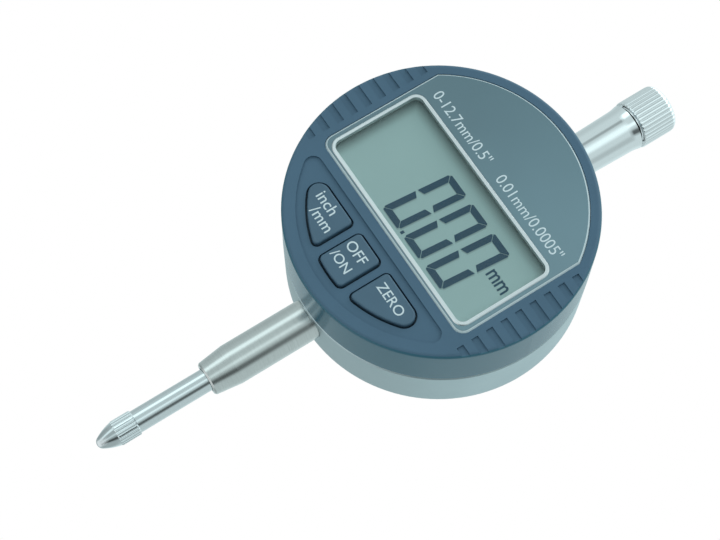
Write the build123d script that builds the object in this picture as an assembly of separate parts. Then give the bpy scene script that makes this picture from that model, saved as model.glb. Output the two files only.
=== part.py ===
"""Digital dial indicator: 12.7 mm plunger, 8 mm stem, turning display head, lug back.

Millimetres, +Z up along the spindle, the face looks towards -Y.
Every piece is drawn about the dial centre on the spindle axis. save() lifts it by DIAL_HEIGHT,
which puts the origin inside the stem's clamping length.
"""
import os
from math import cos, pi, radians, sin

from build123d import *

# --- driving dimensions -------------------------------------------------------------------
DIAL_HEIGHT = 38.0          # dial centre above the origin

# drum: front cover and case, along Y
FACE_Y = -16.75             # front of the cover
SEAM_Y = -4.9               # front edge of the case
BACK_Y = 7.5                # back of the case
SEAM_GAP = 0.55             # open joint between the turning cover and the case
COVER_R = 29.15             # at the face
CASE_R = 29.3
EDGE_ROUND = 0.8

# front cover
COVER_WALL = 1.6
FACE_THICKNESS = 2.0
GRIP_COUNT = 9              # on each side
GRIP_PITCH = 3.1
GRIP_WIDTH = 1.4
GRIP_DEPTH = 0.35
GRIP_START_X = 24.2

# face plate and display
PLATE_HALF_WIDTH = 22.8
PLATE_ARC_R = 27.0
PLATE_BOTTOM_Z = -11.5
PLATE_FRONT_Y = FACE_Y - 0.2
PLATE_SEAT_Y = FACE_Y + 1.45
PLATE_BEVEL = 0.45
FRAME_HALF_WIDTH = 21.75
FRAME_BOTTOM_Z = -10.85
FRAME_TOP_Z = 9.65
FRAME_BORDER = 0.75
FRAME_FRONT_Y = PLATE_FRONT_Y - 0.12
PANE_THICKNESS = 0.7
PANE_LEDGE = 0.25
LCD_HALF_WIDTH = 21.4
LCD_BOTTOM_Z = -10.7
LCD_TOP_Z = 11.3
LCD_FRONT_Y = -15.2
LCD_THICKNESS = 1.1
REFLECTOR_THICKNESS = 0.2
REFLECTOR_TOP_Z = 9.5

# button panel
PANEL_TOP_Z = -13.4
PANEL_R = 26.5
PANEL_DEPTH = 0.4
BUTTON_TOP_Z = -15.4
BUTTON_ARC_R = 24.35
CENTRE_BUTTON_HALF = 3.45
SIDE_BUTTON_X = 5.7
BUTTON_GAP = 0.4
BUTTON_PROUD = 0.7
BUTTON_ROUND = 0.35
BUTTON_TRAVEL = 0.6
FLANGE_MARGIN = 0.55
FLANGE_THICKNESS = 0.7
POST_R = 1.3
POST_LENGTH = 0.6

# display board and keypad mat
BOARD_FRONT_Y = -11.6
BOARD_THICKNESS = 0.8
MAT_SHEET = 0.4
DOME_HEIGHT = 0.72
HEAD_POSTS = ((-12.0, 21.0), (12.0, 21.0), (-21.5, -13.7), (21.5, -13.7))
BOARD_POSTS = ((-17.0, 13.9), (17.0, 13.9))
HEAD_POST_R = 1.7
BOARD_POST_R = 1.5

# turning joint between the head and the case
BASE_THICKNESS = 1.6
BASE_FRONT_Y = -7.2
HUB_R = 12.0
HUB_BORE_R = 9.0
HUB_FRONT_Y = -8.0
HUB_CLEARANCE = 0.05
RING_R = 14.5
RING_THICKNESS = 0.8
RING_SCREW_R = 10.5
CABLE_INNER_R = 3.2
CABLE_OUTER_R = 7.6
CABLE_TURNS = 2.5
CABLE_THICKNESS = 0.15
CABLE_FRONT_Y = -8.6
CABLE_BACK_Y = -5.6
CABLE_TAIL_END_Y = -6.6

# case and back cover
WEB_THICKNESS = 1.6
WEB_BORE_R = 8.0
CASE_BORE_R = 26.8
COVER_SEAT_R = 27.8
COVER_SEAT_Y = 5.4
GASKET_THICKNESS = 0.3
PILLAR_CIRCLE_R = 23.6
PILLAR_R = 2.0
BLOCK_LEFT_X = -6.0
BLOCK_RIGHT_X = 11.5
BLOCK_Z = 21.0              # inner face of the lower and upper bearing blocks
LUG_WIDTH = 5.0
LUG_HOLE_R = 3.25
LUG_HOLE_Y = BACK_Y + 9.0
LUG_END_R = 6.5
LUG_FOOT_MARGIN = 2.0
LUG_FOOT_HEIGHT = 0.8

# stem, bushes and top sleeve
STEM_R = 4.0
STEM_BORE_R = 3.0
STEM_SHOULDER_Z = -29.1     # just inside the drum
HIDDEN_SPIGOT_R = 3.7       # stem and sleeve, inside the case
STEM_END_Z = -51.2
STEM_TAPER_Z = -45.8
STEM_END_R = 3.35
BUSH_LENGTH = 6.0
RUNNING_CLEARANCE = 0.02
SEAL_LENGTH = 1.2
SLEEVE_BASE_R = 4.1
SLEEVE_SHOULDER_Z = 29.1
SLEEVE_TOP_R = 4.45
SLEEVE_FLARE_R = 4.75
SLEEVE_FLARE_Z = 43.0
SLEEVE_EDGE = 0.2
SLEEVE_END_Z = 45.2
SPIGOT_R = 3.7
SPIGOT_END_Z = 49.0
CAP_R = 4.98
CAP_BOTTOM_Z = 45.6
CAP_TOP_Z = 53.5
CAP_FLUTES = 32
CAP_FLUTE_DEPTH = 0.25

# spindle
SPINDLE_R = 2.2
SPINDLE_TOP_Z = 37.5
SPINDLE_END_Z = -66.2
TRAVEL = 12.7
POINT_THREAD_R = 1.25
POINT_THREAD_LENGTH = 4.8
POINT_BAND_R = 2.48
POINT_BAND_END_Z = -70.4
POINT_TIP_Z = -74.3
POINT_NOSE_R = 1.3
POINT_NOSE_LEAN = radians(30)  # where the nose's flank meets its ball end
POINT_FLUTES = 24
POINT_FLUTE_DEPTH = 0.2

# carrier, guide and spring
CARRIER_BOTTOM_Z = -19.97
CARRIER_HEIGHT = 10.0
CARRIER_FRONT_Y = -1.7
CARRIER_BACK_Y = 4.2
CARRIER_HALF = 5.5
CARRIER_SCREW_LENGTH = 3.0
ARM_LEFT_X = -14.0
ARM_RIGHT_X = 11.0
ARM_THICKNESS = 1.0
ARM_TOP_Z = 8.5
GUIDE_X = 8.8
GUIDE_R = 1.2
GUIDE_CLEARANCE = 0.03
STOP_R = 3.25
STOP_THICKNESS = 1.0
SPRING_R = 1.65
SPRING_WIRE_R = 0.2
SPRING_TURNS = 22
STRIP_THICKNESS = 0.6
STRIP_RIGHT_X = -6.5

# sensor board
SENSOR_LEFT_X = -14.2
SENSOR_RIGHT_X = 7.0
SENSOR_HALF_HEIGHT = 16.0
SENSOR_THICKNESS = 0.8
SENSOR_SCREW_PLACES = ((-12.2, 13.5), (-12.2, -13.5), (5.0, 13.5), (5.0, -13.5))

# battery and its holder
BATTERY_X = 18.2
BATTERY_Z = 6.0
BATTERY_R = 5.8
BATTERY_BACK_Y = 4.9
BATTERY_HEIGHT = 5.4
HOLDER_BORE_R = 5.9
HOLDER_R = 6.8
HOLDER_FLOOR = 0.8
CAP_THREAD_R = 6.4
CAP_NECK_R = 5.4
CAP_FLANGE_R = 7.4
CAP_FLANGE = 1.0
SEAL_THICKNESS = 0.25
COIN_SLOT = 1.4

# screws: shank radius, head radius, head height
SMALL_SCREW = (0.7, 1.3, 0.6)
COVER_SCREW = (0.9, 1.75, 1.0)

WEB_BACK_Y = SEAM_Y + WEB_THICKNESS
FACE_BACK_Y = FACE_Y + FACE_THICKNESS
COVER_BORE_R = COVER_R - COVER_WALL
BASE_BACK_Y = BASE_FRONT_Y + BASE_THICKNESS
GASKET_BACK_Y = COVER_SEAT_Y + GASKET_THICKNESS
CARRIER_TOP_Z = CARRIER_BOTTOM_Z + CARRIER_HEIGHT
CARRIER_SCREW_Z = (CARRIER_BOTTOM_Z + 2.5, CARRIER_TOP_Z - 2.5)
BOARD_BACK_Y = BOARD_FRONT_Y + BOARD_THICKNESS


# --- helpers ------------------------------------------------------------------------------
def slab(outline, front_y, back_y):
    """Plate of an outline drawn in X and Z, from front_y to back_y."""
    return extrude(Plane.XZ.offset(-back_y) * outline, back_y - front_y)


def disc(radius, front_y, back_y, x=0.0, z=0.0):
    """Round plate or pin along Y."""
    return slab(Pos(x, z) * Circle(radius), front_y, back_y)


def rod(radius, bottom_z, top_z, x=0.0, y=0.0):
    """Round bar along Z."""
    bar = Cylinder(radius, top_z - bottom_z, align=(Align.CENTER, Align.CENTER, Align.MIN))
    return Pos(x, y, bottom_z) * bar


def block(x0, x1, y0, y1, z0, z1):
    """Box between two corners."""
    return Pos((x0 + x1) / 2, (y0 + y1) / 2, (z0 + z1) / 2) * Box(x1 - x0, y1 - y0, z1 - z0)


def span(x0, x1, z0, z1):
    """Rectangle in X and Z, as an outline for slab()."""
    return Pos((x0 + x1) / 2, (z0 + z1) / 2) * Rectangle(x1 - x0, z1 - z0)


def turned_on_y(points):
    """Solid of revolution about the dial axis, from (radius, y) points."""
    return revolve(make_face(Polyline(*points, close=True)), axis=Axis.Y)


def turned_on_z(*edges):
    """Solid of revolution about the spindle axis, from edges drawn as (radius, z)."""
    return revolve(Plane.XZ * make_face(Curve() + list(edges)), axis=Axis.Z)


def screw(size, length):
    """Pan-head screw with a cross recess: head above Z = 0, shank below it."""
    shank_r, head_r, head_h = size
    head = chamfer(Cylinder(head_r, head_h).edges().group_by(Axis.Z)[-1], 0.35 * head_h)
    recess = Box(1.3 * head_r, 0.22 * head_r, 0.6 * head_h) + Box(0.22 * head_r, 1.3 * head_r, 0.6 * head_h)
    shank = Cylinder(shank_r, length)
    return Pos(0, 0, head_h / 2) * (head - Pos(0, 0, head_h / 2) * recess) + Pos(0, 0, -length / 2) * shank


def screw_on_y(size, length, x, seat_y, z, head_to_back=True):
    """Screw along Y whose head sits on seat_y, behind it or in front of it."""
    turn = Rot(-90, 0, 0) if head_to_back else Rot(90, 0, 0)
    return Pos(x, seat_y, z) * turn * screw(size, length)


def fluted(radius, flutes, depth):
    """Circle with evenly spaced round flutes cut in its rim."""
    flute_r = 0.36 * 2 * pi * radius / flutes
    return Circle(radius) - PolarLocations(radius + flute_r - depth, flutes) * Circle(flute_r)


def save(piece, name):
    """Write one piece, or a list of separate solids, as parts/NAME.step."""
    solids = piece if isinstance(piece, list) else [piece]
    lifted = [Pos(0, 0, DIAL_HEIGHT) * solid for solid in solids]
    shape = lifted[0] if len(lifted) == 1 else Compound(children=lifted)
    shape.label = name
    export_step(shape, f"parts/{name}.step")


# --- outlines -----------------------------------------------------------------------------
def plate_outline(margin=0.0):
    """Face plate: straight sides and bottom, top arc on the dial centre."""
    half = PLATE_HALF_WIDTH + margin
    shape = Circle(PLATE_ARC_R + margin) & span(-half, half, PLATE_BOTTOM_Z - margin, PLATE_ARC_R + 1)
    return fillet(shape.vertices().group_by(Axis.Y)[0], 2.2)


def display_outline(margin=0.0):
    """Opening of the display frame, or the frame itself with its border as the margin."""
    inner_half = FRAME_HALF_WIDTH - FRAME_BORDER + margin
    shape = span(-inner_half, inner_half, FRAME_BOTTOM_Z + FRAME_BORDER - margin,
                 FRAME_TOP_Z - FRAME_BORDER + margin)
    return fillet(shape.vertices(), 1.5 + margin)


def panel_outline():
    """Recess round the buttons: flat top, bottom arc on the dial centre."""
    shape = Circle(PANEL_R) & span(-PANEL_R, PANEL_R, -PANEL_R - 1, PANEL_TOP_Z)
    return fillet(shape.vertices(), 1.8)


def centre_button_outline(margin=0.0):
    """Middle button, with its lower edge on the common arc."""
    half = CENTRE_BUTTON_HALF + margin
    shape = Circle(BUTTON_ARC_R + margin) & span(-half, half, -PANEL_R, BUTTON_TOP_Z + margin)
    return fillet(shape.vertices(), 0.9 + margin)


def right_button_outline(margin=0.0):
    """Outer button: straight inner and top edges, arc below, long rounded outer end."""
    inner_x = SIDE_BUTTON_X - margin
    shape = Circle(BUTTON_ARC_R + margin) & span(inner_x, PANEL_R, -PANEL_R, BUTTON_TOP_Z + margin)
    outer = shape.vertices().sort_by(Axis.X)[-1:]
    shape = fillet(outer, 2.0 + margin)
    inner = shape.vertices().group_by(Axis.X)[0]
    return fillet(inner, 0.8 + margin)


def left_button_outline(margin=0.0):
    """Outer button on the other side."""
    return mirror(right_button_outline(margin), about=Plane.YZ)


BUTTONS = {
    "inch_mm_button": (left_button_outline, -10.3, -18.6),
    "off_on_button": (centre_button_outline, 0.0, -19.9),
    "zero_button": (right_button_outline, 10.3, -18.6),
}


# --- display head -------------------------------------------------------------------------
def front_cover():
    """Cup with the plate seat, display opening, button openings, grips and posts."""
    rear_y = SEAM_Y - SEAM_GAP
    profile = Curve() + [
        Line((0, FACE_Y), (COVER_R - EDGE_ROUND, FACE_Y)),
        RadiusArc((COVER_R - EDGE_ROUND, FACE_Y), (COVER_R, FACE_Y + EDGE_ROUND), -EDGE_ROUND),
        Line((COVER_R, FACE_Y + EDGE_ROUND), (CASE_R, rear_y)),
        Line((CASE_R, rear_y), (COVER_BORE_R, rear_y)),
        Line((COVER_BORE_R, rear_y), (COVER_BORE_R, FACE_BACK_Y)),
        Line((COVER_BORE_R, FACE_BACK_Y), (0, FACE_BACK_Y)),
        Line((0, FACE_BACK_Y), (0, FACE_Y)),
    ]
    cover = revolve(make_face(profile), axis=Axis.Y)
    cover -= slab(plate_outline(0.05), FACE_Y - 1, PLATE_SEAT_Y)
    cover -= slab(span(-LCD_HALF_WIDTH - 0.1, LCD_HALF_WIDTH + 0.1, LCD_BOTTOM_Z - 0.1, LCD_TOP_Z + 0.1),
                  PLATE_SEAT_Y - 1, FACE_BACK_Y + 1)
    cover -= slab(panel_outline(), FACE_Y - 1, FACE_Y + PANEL_DEPTH)
    for outline, _, _ in BUTTONS.values():
        cover -= slab(outline(BUTTON_GAP), FACE_Y - 1, FACE_BACK_Y + 1)
    for side in (-1, 1):
        for number in range(GRIP_COUNT):
            z = (number - (GRIP_COUNT - 1) / 2) * GRIP_PITCH
            x0, x1 = sorted((side * GRIP_START_X, side * (CASE_R + 1)))
            cover -= slab(span(x0, x1, z - GRIP_WIDTH / 2, z + GRIP_WIDTH / 2), FACE_Y - 1, FACE_Y + GRIP_DEPTH)
    for x, z in HEAD_POSTS:
        cover += disc(HEAD_POST_R, FACE_BACK_Y - 0.2, BASE_FRONT_Y, x, z)
        cover -= disc(SMALL_SCREW[0], BASE_FRONT_Y - 4.0, BASE_FRONT_Y + 1, x, z)
    for x, z in BOARD_POSTS:
        cover += disc(BOARD_POST_R, FACE_BACK_Y - 0.2, BOARD_FRONT_Y, x, z)
        cover -= disc(SMALL_SCREW[0], BOARD_FRONT_Y - 2.6, BOARD_FRONT_Y + 1, x, z)
    return cover


def face_plate():
    """Glossy plate in the cover's seat, bevelled round its front edge, open for the display."""
    plate = slab(plate_outline(), PLATE_FRONT_Y, PLATE_SEAT_Y)
    plate = chamfer(plate.edges().group_by(Axis.Y)[0], PLATE_BEVEL)
    return plate - slab(display_outline(FRAME_BORDER), PLATE_FRONT_Y - 1, PLATE_SEAT_Y + 1)


def lcd_frame():
    """Frame round the display, with a ledge behind it for the pane."""
    frame = slab(display_outline(FRAME_BORDER), FRAME_FRONT_Y, PLATE_SEAT_Y)
    frame = chamfer(frame.edges().group_by(Axis.Y)[0], 0.2)
    frame -= slab(display_outline(), FRAME_FRONT_Y - 1, PLATE_SEAT_Y + 1)
    return frame - slab(display_outline(PANE_LEDGE), PLATE_SEAT_Y - PANE_THICKNESS, PLATE_SEAT_Y + 1)


def window():
    """Clear pane behind the frame."""
    return slab(display_outline(PANE_LEDGE - 0.03), PLATE_SEAT_Y - PANE_THICKNESS, PLATE_SEAT_Y)


def lcd_glass():
    """Liquid crystal glass."""
    outline = span(-LCD_HALF_WIDTH, LCD_HALF_WIDTH, LCD_BOTTOM_Z, LCD_TOP_Z)
    return slab(outline, LCD_FRONT_Y, LCD_FRONT_Y + LCD_THICKNESS)


def lcd_reflector():
    """Pale sheet behind the liquid crystal glass."""
    front = LCD_FRONT_Y + LCD_THICKNESS
    outline = span(-LCD_HALF_WIDTH, LCD_HALF_WIDTH, LCD_BOTTOM_Z, REFLECTOR_TOP_Z)
    return slab(outline, front, front + REFLECTOR_THICKNESS)


def contact_strip():
    """Conductive rubber strip between the glass and the display board."""
    outline = span(-15.0, 15.0, REFLECTOR_TOP_Z + 0.25, LCD_TOP_Z - 0.1)
    return slab(outline, LCD_FRONT_Y + LCD_THICKNESS, BOARD_FRONT_Y)


def display_board():
    """Circuit board behind the display and the keypad mat."""
    outline = Circle(26.4) & span(-21.0, 21.0, -26.4, 16.0)
    board = slab(outline, BOARD_FRONT_Y, BOARD_BACK_Y)
    for x, z in HEAD_POSTS:
        board -= disc(HEAD_POST_R + 0.3, BOARD_FRONT_Y - 1, BOARD_BACK_Y + 1, x, z)
    for x, z in BOARD_POSTS:
        board -= disc(SMALL_SCREW[0] + 0.1, BOARD_FRONT_Y - 1, BOARD_BACK_Y + 1, x, z)
    return board


def controller_chip():
    """Encapsulated controller on the back of the display board."""
    return slab(Pos(9.0, 6.0) * RectangleRounded(9.0, 9.0, 0.6), BOARD_BACK_Y, BOARD_BACK_Y + 1.2)


def keypad_mat():
    """Silicone sheet with one dome under each button."""
    outline = (Circle(25.2) & span(-17.5, 17.5, -26.0, -14.0))
    mat = slab(outline, BOARD_FRONT_Y - MAT_SHEET, BOARD_FRONT_Y)
    for _, x, z in BUTTONS.values():
        base = Plane((x, BOARD_FRONT_Y - MAT_SHEET, z), z_dir=(0, -1, 0))
        mat += extrude(base * Circle(2.3), DOME_HEIGHT, taper=25)
    return mat


def button(outline, post_x, post_z):
    """Button cap with a retaining flange and a post behind it."""
    cap_front = FACE_Y + PANEL_DEPTH - BUTTON_PROUD
    flange_front = FACE_BACK_Y + 0.02
    flange_back = flange_front + FLANGE_THICKNESS
    cap = slab(outline(), cap_front, flange_front)
    cap = fillet(cap.edges().group_by(Axis.Y)[0], BUTTON_ROUND)
    cap += slab(outline(FLANGE_MARGIN), flange_front, flange_back)
    return cap + disc(POST_R, flange_back - 0.1, flange_back + POST_LENGTH, post_x, post_z)


def head_base():
    """Plate that closes the display head and turns on the case's hub."""
    base = disc(COVER_BORE_R - 0.05, BASE_FRONT_Y, BASE_BACK_Y)
    base -= disc(HUB_R + HUB_CLEARANCE, BASE_FRONT_Y - 1, BASE_BACK_Y + 1)
    for x, z in HEAD_POSTS:
        base -= disc(SMALL_SCREW[0] + 0.1, BASE_FRONT_Y - 1, BASE_BACK_Y + 1, x, z)
        base -= disc(SMALL_SCREW[1] + 0.2, BASE_BACK_Y - SMALL_SCREW[2] - 0.1, BASE_BACK_Y + 1, x, z)
    return base


def head_base_screws():
    """Four screws from behind, into the cover's long posts."""
    seat_y = BASE_BACK_Y - SMALL_SCREW[2] - 0.1
    return [screw_on_y(SMALL_SCREW, 4.0, x, seat_y, z) for x, z in HEAD_POSTS]


def display_board_screws():
    """Two screws that hold the display board to the cover's short posts."""
    return [screw_on_y(SMALL_SCREW, 3.0, x, BOARD_BACK_Y, z) for x, z in BOARD_POSTS]


def flex_cable():
    """Flat cable wound as a spiral inside the hub, with a tail up to the display board."""
    steps = 30

    def spiral(offset):
        points = []
        for step in range(steps + 1):
            angle = 2 * pi * CABLE_TURNS * step / steps
            radius = CABLE_INNER_R + (CABLE_OUTER_R - CABLE_INNER_R) * step / steps + offset
            points.append((radius * cos(angle), radius * sin(angle)))
        return points

    inner = spiral(0.0)
    outer = spiral(CABLE_THICKNESS)
    ribbon = Curve() + [Spline(*inner), Line(inner[-1], outer[-1]), Spline(*outer), Line(inner[0], outer[0])]
    band = slab(make_face(ribbon), CABLE_FRONT_Y, CABLE_BACK_Y)
    tail_x = -CABLE_OUTER_R - CABLE_THICKNESS
    tail = span(tail_x, tail_x + CABLE_THICKNESS, -1.5, 1.5)
    return band + slab(tail, BOARD_BACK_Y, CABLE_TAIL_END_Y)


# --- case ---------------------------------------------------------------------------------
def pillars():
    """Centres of the four pillars that take the back cover's screws."""
    return [(PILLAR_CIRCLE_R * cos(radians(a)), PILLAR_CIRCLE_R * sin(radians(a))) for a in (45, 135, 225, 315)]


def case():
    """Drum with a front web and hub, two bearing blocks, four pillars and a seat for the cover."""
    drum = turned_on_y([
        (HUB_BORE_R, HUB_FRONT_Y), (HUB_R, HUB_FRONT_Y), (HUB_R, SEAM_Y), (CASE_R - 0.3, SEAM_Y),
        (CASE_R, SEAM_Y + 0.3), (CASE_R, BACK_Y - 0.5), (CASE_R - 0.5, BACK_Y), (COVER_SEAT_R, BACK_Y),
        (COVER_SEAT_R, COVER_SEAT_Y), (CASE_BORE_R, COVER_SEAT_Y), (CASE_BORE_R, WEB_BACK_Y),
        (WEB_BORE_R, WEB_BACK_Y), (WEB_BORE_R, SEAM_Y), (HUB_BORE_R, SEAM_Y),
    ])
    core = disc(CASE_BORE_R + 0.5, WEB_BACK_Y - 0.2, COVER_SEAT_Y - 0.1)
    for z0, z1 in ((-CASE_R, -BLOCK_Z), (BLOCK_Z + 0.5, CASE_R)):
        drum += block(BLOCK_LEFT_X, BLOCK_RIGHT_X, WEB_BACK_Y - 0.2, COVER_SEAT_Y - 0.1, z0, z1) & core
    for x, z in pillars():
        drum += disc(PILLAR_R, WEB_BACK_Y - 0.2, GASKET_BACK_Y, x, z)
        drum -= disc(COVER_SCREW[0], GASKET_BACK_Y - 5.5, GASKET_BACK_Y + 1, x, z)
    drum -= rod(HIDDEN_SPIGOT_R, -CASE_R - 1, -BLOCK_Z + 1)
    drum -= rod(STEM_R, -CASE_R - 1, STEM_SHOULDER_Z)
    drum -= rod(HIDDEN_SPIGOT_R, BLOCK_Z - 1, CASE_R + 1)
    drum -= rod(SLEEVE_BASE_R, SLEEVE_SHOULDER_Z, CASE_R + 1)
    drum -= rod(GUIDE_R, -BLOCK_Z - 2.5, BLOCK_Z + 3.0, GUIDE_X)
    for x, z in ring_screw_places():
        drum -= disc(SMALL_SCREW[0], HUB_FRONT_Y - 1, HUB_FRONT_Y + 2.6, x, z)
    for x, z in SENSOR_SCREW_PLACES:
        drum -= disc(SMALL_SCREW[0], WEB_BACK_Y - 1.2, WEB_BACK_Y + 1, x, z)
    return drum


def ring_screw_places():
    """Three screws round the hub."""
    return [(RING_SCREW_R * cos(radians(a)), RING_SCREW_R * sin(radians(a))) for a in (90, 210, 330)]


def retaining_ring():
    """Flat ring on the hub that keeps the head from coming off."""
    ring = disc(RING_R, HUB_FRONT_Y - RING_THICKNESS, HUB_FRONT_Y) - disc(HUB_BORE_R, -20, 0)
    for x, z in ring_screw_places():
        ring -= disc(SMALL_SCREW[0] + 0.1, -20, 0, x, z)
    return ring


def retaining_ring_screws():
    """Three screws from the front."""
    seat_y = HUB_FRONT_Y - RING_THICKNESS
    return [screw_on_y(SMALL_SCREW, 3.0, x, seat_y, z, head_to_back=False) for x, z in ring_screw_places()]


def friction_washer():
    """Nylon washer between the ring and the head's base."""
    washer = disc(RING_R - 0.3, HUB_FRONT_Y + 0.05, BASE_FRONT_Y - 0.05)
    return washer - disc(HUB_R + 0.1, HUB_FRONT_Y - 1, BASE_FRONT_Y + 1)


def back_gasket():
    """Flat seal on the case's seat."""
    return disc(COVER_SEAT_R - 0.05, COVER_SEAT_Y, GASKET_BACK_Y) - disc(CASE_BORE_R, 0, 10)


def back_cover():
    """Round back plate with a lug and a threaded opening for the battery cap."""
    plate = turned_on_y([
        (0, GASKET_BACK_Y), (COVER_SEAT_R - 0.05, GASKET_BACK_Y), (COVER_SEAT_R - 0.05, BACK_Y - 0.2),
        (COVER_SEAT_R - 0.25, BACK_Y), (0, BACK_Y),
    ])
    side = Plane.YZ.offset(-LUG_WIDTH / 2)
    cheek = Pos(LUG_HOLE_Y, 0) * Circle(LUG_END_R)
    cheek += Pos((BACK_Y - 0.5 + LUG_HOLE_Y) / 2, 0) * Rectangle(LUG_HOLE_Y - BACK_Y + 0.5, 2 * LUG_END_R)
    lug = extrude(side * cheek, LUG_WIDTH)
    lug = chamfer(lug.edges().filter_by(GeomType.CIRCLE), 0.4)
    foot_outline = RectangleRounded(LUG_WIDTH + 2 * LUG_FOOT_MARGIN, 2 * LUG_END_R + 3.0, 2.5)
    foot = slab(foot_outline, BACK_Y - 0.3, BACK_Y + LUG_FOOT_HEIGHT)
    plate += lug + foot
    plate -= extrude(Plane.YZ.offset(-LUG_WIDTH) * Pos(LUG_HOLE_Y, 0) * Circle(LUG_HOLE_R), 2 * LUG_WIDTH)
    for x, z in pillars():
        plate -= disc(COVER_SCREW[0] + 0.1, 0, 10, x, z)
        plate -= disc(COVER_SCREW[1] + 0.15, BACK_Y - COVER_SCREW[2] + 0.2, 10, x, z)
    plate -= disc(CAP_THREAD_R, 0, 10, BATTERY_X, BATTERY_Z)
    return plate - disc(CAP_FLANGE_R + 0.05, BACK_Y - CAP_FLANGE, 10, BATTERY_X, BATTERY_Z)


def back_cover_screws():
    """Four screws into the case's pillars, heads sunk in the back plate."""
    seat_y = BACK_Y - COVER_SCREW[2] + 0.2
    return [screw_on_y(COVER_SCREW, 6.0, x, seat_y, z) for x, z in pillars()]


# --- stem, sleeve and cap -----------------------------------------------------------------
def stem():
    """Clamping stem, tapered at its end, bored for the bush, the seal and the spindle."""
    outside = turned_on_z(Polyline(
        (0, -BLOCK_Z), (HIDDEN_SPIGOT_R, -BLOCK_Z), (HIDDEN_SPIGOT_R, STEM_SHOULDER_Z),
        (STEM_R, STEM_SHOULDER_Z), (STEM_R, STEM_TAPER_Z), (STEM_END_R, STEM_END_Z + 0.3),
        (STEM_END_R - 0.3, STEM_END_Z), (0, STEM_END_Z), close=True))
    return outside - rod(STEM_BORE_R, STEM_END_Z + 0.6, 0) - rod(SPINDLE_R + 0.25, STEM_END_Z - 1, 0)


def bearing(bottom_z, top_z):
    """Bronze bush with a running fit on the spindle."""
    return rod(STEM_BORE_R, bottom_z, top_z) - rod(SPINDLE_R + RUNNING_CLEARANCE, bottom_z - 1, top_z + 1)


def spindle_seal():
    """Wiper ring under the lower bush."""
    bottom = STEM_END_Z + 0.6
    ring = rod(STEM_BORE_R, bottom, bottom + SEAL_LENGTH)
    return ring - rod(SPINDLE_R + 0.06, bottom - 1, bottom + SEAL_LENGTH + 1)


def top_sleeve():
    """Slightly conical tube over the spindle's upper end, with a flare under the cap."""
    flare_start = (SLEEVE_TOP_R, SLEEVE_FLARE_Z)
    flare_end = (SLEEVE_FLARE_R, SLEEVE_END_Z - SLEEVE_EDGE)
    cone = (SLEEVE_TOP_R - SLEEVE_BASE_R, SLEEVE_FLARE_Z - CASE_R)
    outside = turned_on_z(
        Polyline(flare_end, (SLEEVE_FLARE_R - SLEEVE_EDGE, SLEEVE_END_Z),
                 (SPIGOT_R, SLEEVE_END_Z), (SPIGOT_R, SPIGOT_END_Z), (0, SPIGOT_END_Z), (0, BLOCK_Z + 0.5),
                 (HIDDEN_SPIGOT_R, BLOCK_Z + 0.5), (HIDDEN_SPIGOT_R, SLEEVE_SHOULDER_Z),
                 (SLEEVE_BASE_R, SLEEVE_SHOULDER_Z), (SLEEVE_BASE_R, CASE_R), flare_start),
        TangentArc(flare_start, flare_end, tangent=cone),
    )
    return outside - rod(STEM_BORE_R, 0, SPIGOT_END_Z + 1)


def dust_cap():
    """Fluted cap screwed on the sleeve's spigot."""
    outline = Pos(0, 0, CAP_BOTTOM_Z) * fluted(CAP_R, CAP_FLUTES, CAP_FLUTE_DEPTH)
    body = extrude(outline, CAP_TOP_Z - CAP_BOTTOM_Z)
    form = turned_on_z(
        Line((0, CAP_BOTTOM_Z), (CAP_R - 0.35, CAP_BOTTOM_Z)),
        Line((CAP_R - 0.35, CAP_BOTTOM_Z), (CAP_R, CAP_BOTTOM_Z + 0.35)),
        Line((CAP_R, CAP_BOTTOM_Z + 0.35), (CAP_R, CAP_TOP_Z - 1.2)),
        RadiusArc((CAP_R, CAP_TOP_Z - 1.2), (CAP_R - 1.2, CAP_TOP_Z), -1.2),
        Line((CAP_R - 1.2, CAP_TOP_Z), (0, CAP_TOP_Z)),
        Line((0, CAP_TOP_Z), (0, CAP_BOTTOM_Z)),
    )
    cap = body & form
    return cap - rod(SPIGOT_R, CAP_BOTTOM_Z - 1, SPIGOT_END_Z) - rod(STEM_BORE_R, 0, CAP_TOP_Z - 1.2)


# --- spindle and what moves with it -------------------------------------------------------
def spindle():
    """Plunger rod, bored at its lower end for the contact point's thread."""
    bar = rod(SPINDLE_R, SPINDLE_END_Z, SPINDLE_TOP_Z)
    bar = chamfer(bar.edges().group_by(Axis.Z)[-1], 0.4)
    for z in CARRIER_SCREW_Z:
        bar -= disc(SMALL_SCREW[0], CARRIER_BACK_Y - CARRIER_SCREW_LENGTH, SPINDLE_R + 1, 0, z)
    return bar - rod(POINT_THREAD_R, SPINDLE_END_Z - 1, SPINDLE_END_Z + POINT_THREAD_LENGTH + 0.2)


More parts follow.
